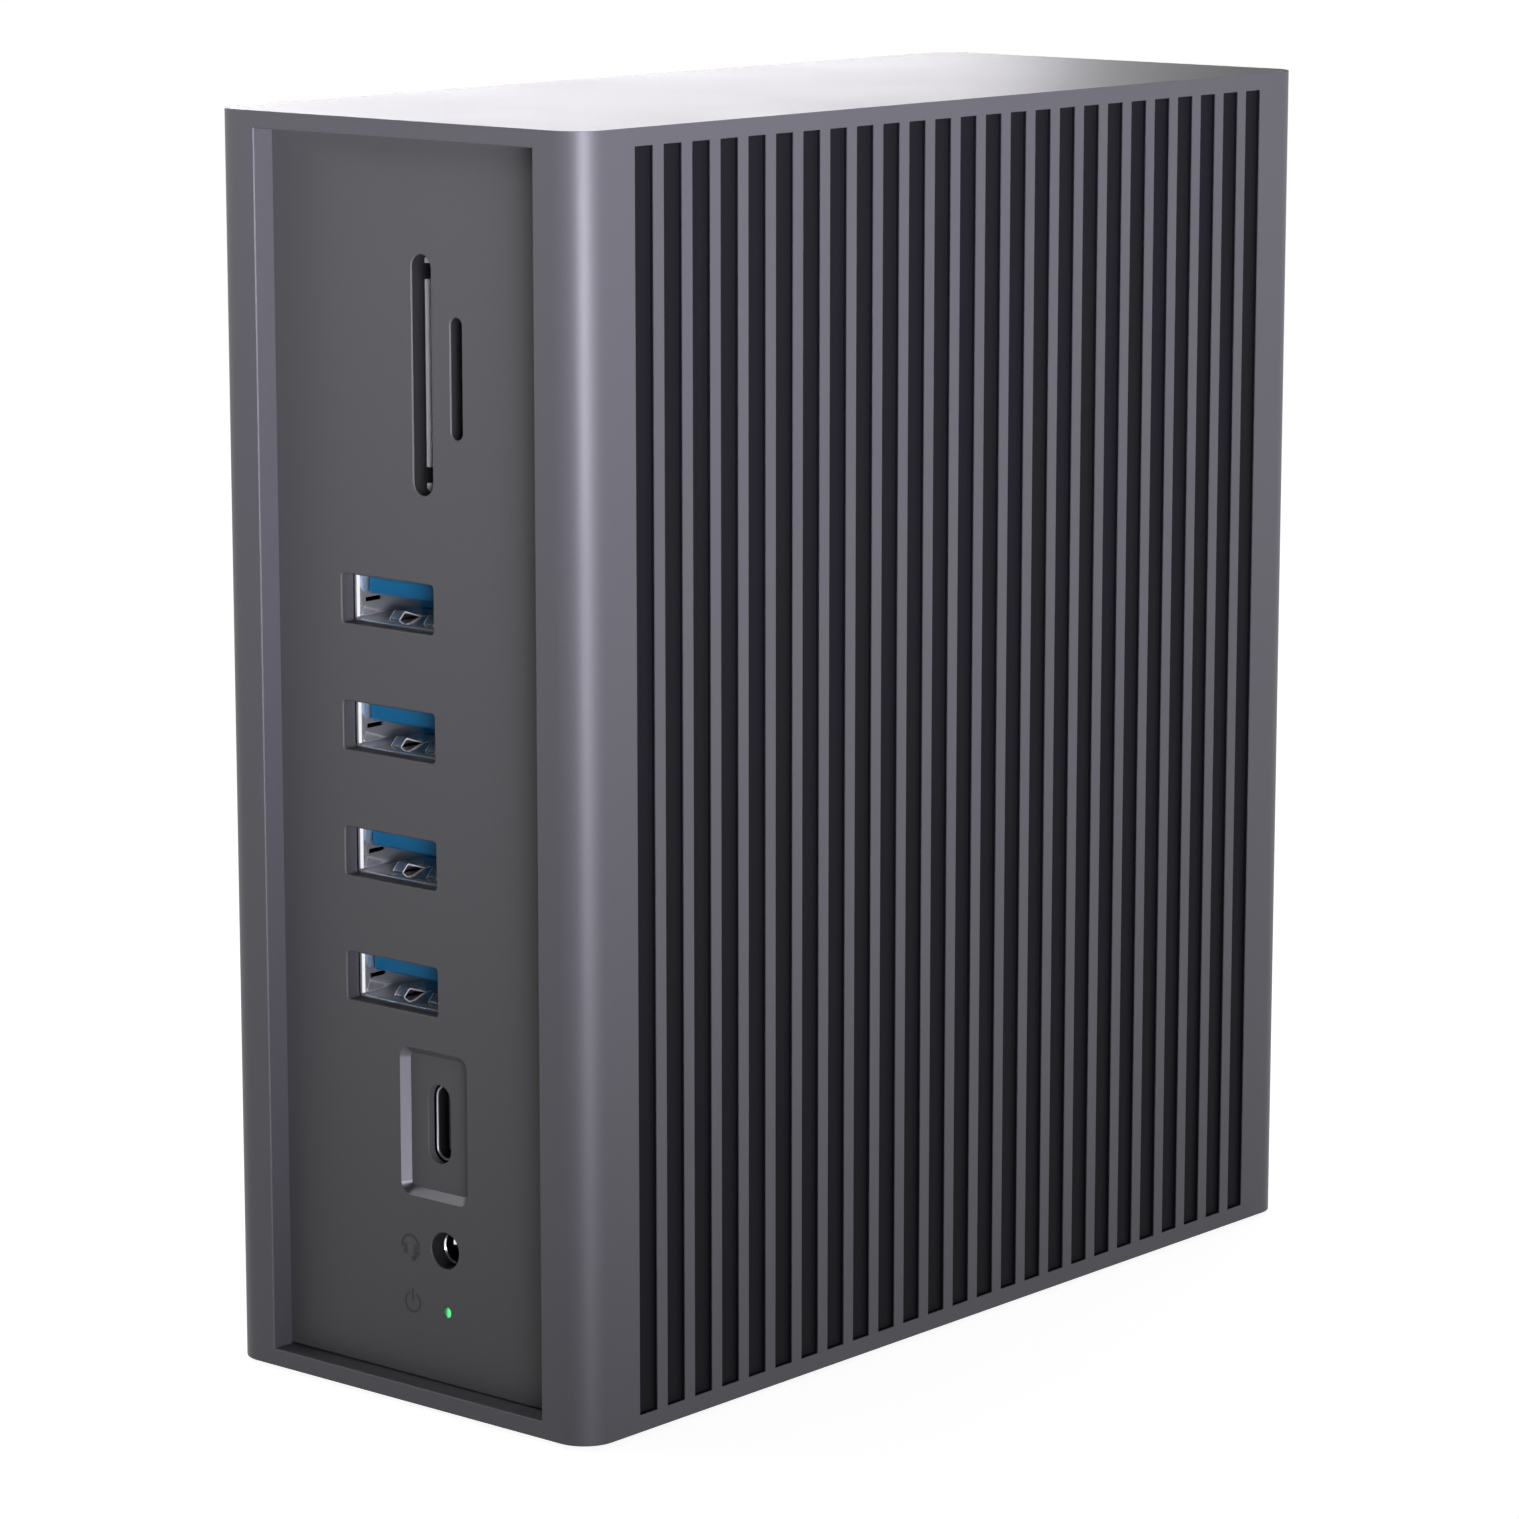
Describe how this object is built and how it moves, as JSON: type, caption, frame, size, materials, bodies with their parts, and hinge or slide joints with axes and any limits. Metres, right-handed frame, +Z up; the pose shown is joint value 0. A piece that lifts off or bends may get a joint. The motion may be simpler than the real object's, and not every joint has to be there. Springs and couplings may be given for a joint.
{
  "type": "usb-c docking station",
  "caption": "Upright docking station: slim grey aluminium housing with vertically grooved sides and a recessed front panel of card slots, data sockets and an audio jack.",
  "frame": {"origin": "middle of the underside, on the surface that the feet stand on", "axes": "+Z up; the front panel faces -Y; +X is to the right as seen from the front"},
  "size_m": [0.056, 0.132, 0.1456],
  "materials": {
    "sleeve": "bead-blasted grey anodised, with blackened grooves",
    "front_panel": "matte dark grey",
    "rear_panel": "matte dark grey",
    "foot": "matte",
    "screw": "black oxide",
    "board": "solder mask",
    "socket_plastic": "matte",
    "card_frame": "satin pale grey",
    "socket_steel": "plated sheet",
    "dark_tongue": "matte",
    "blue_tongue": "satin",
    "contact": "gold plated",
    "audio_sleeve": "plated",
    "light_pipe": "clear, lit green",
    "lamp": "satin",
    "chip": "matte",
    "thermal_pad": "matte",
    "heat_sink": "plain",
    "coil": "ferrite",
    "can": "plain",
    "shield": "plated sheet"
  },
  "bodies": {
    "root": {"audio_body": "socket_plastic", "audio_sleeve": "audio_sleeve", "capacitor_1": "can", "capacitor_2": "can", "capacitor_3": "can", "flat_pins_1": "contact", "flat_pins_2": "contact", "flat_pins_3": "contact", "flat_pins_4": "contact", "flat_shell_1": "socket_steel", "flat_shell_2": "socket_steel", "flat_shell_3": "socket_steel", "flat_shell_4": "socket_steel", "flat_tongue_1": "blue_tongue", "flat_tongue_2": "blue_tongue", "flat_tongue_3": "blue_tongue", "flat_tongue_4": "blue_tongue", "foot_1": "foot", "foot_2": "foot", "foot_3": "foot", "foot_4": "foot", "front_oval_shell": "socket_steel", "front_oval_tongue": "dark_tongue", "front_panel": "front_panel", "heat_sink": "heat_sink", "host_oval_shell": "socket_steel", "host_oval_tongue": "dark_tongue", "housing": "sleeve", "hub_chip": "chip", "large_card_base": "card_frame", "large_card_cover": "socket_steel", "light_pipe": "light_pipe", "main_board": "board", "network_body": "shield", "network_pins": "contact", "power_coil": "coil", "power_inlet": "socket_plastic", "power_pin": "contact", "rear_panel": "rear_panel", "rear_screws": "screw", "small_card_base": "socket_plastic", "small_card_cover": "socket_steel", "status_lamp": "lamp", "thermal_pad": "thermal_pad", "video_chip": "chip", "video_shell_1": "socket_steel", "video_shell_2": "socket_steel", "video_tongue_1": "dark_tongue", "video_tongue_2": "dark_tongue"}
  },
  "joints": []
}
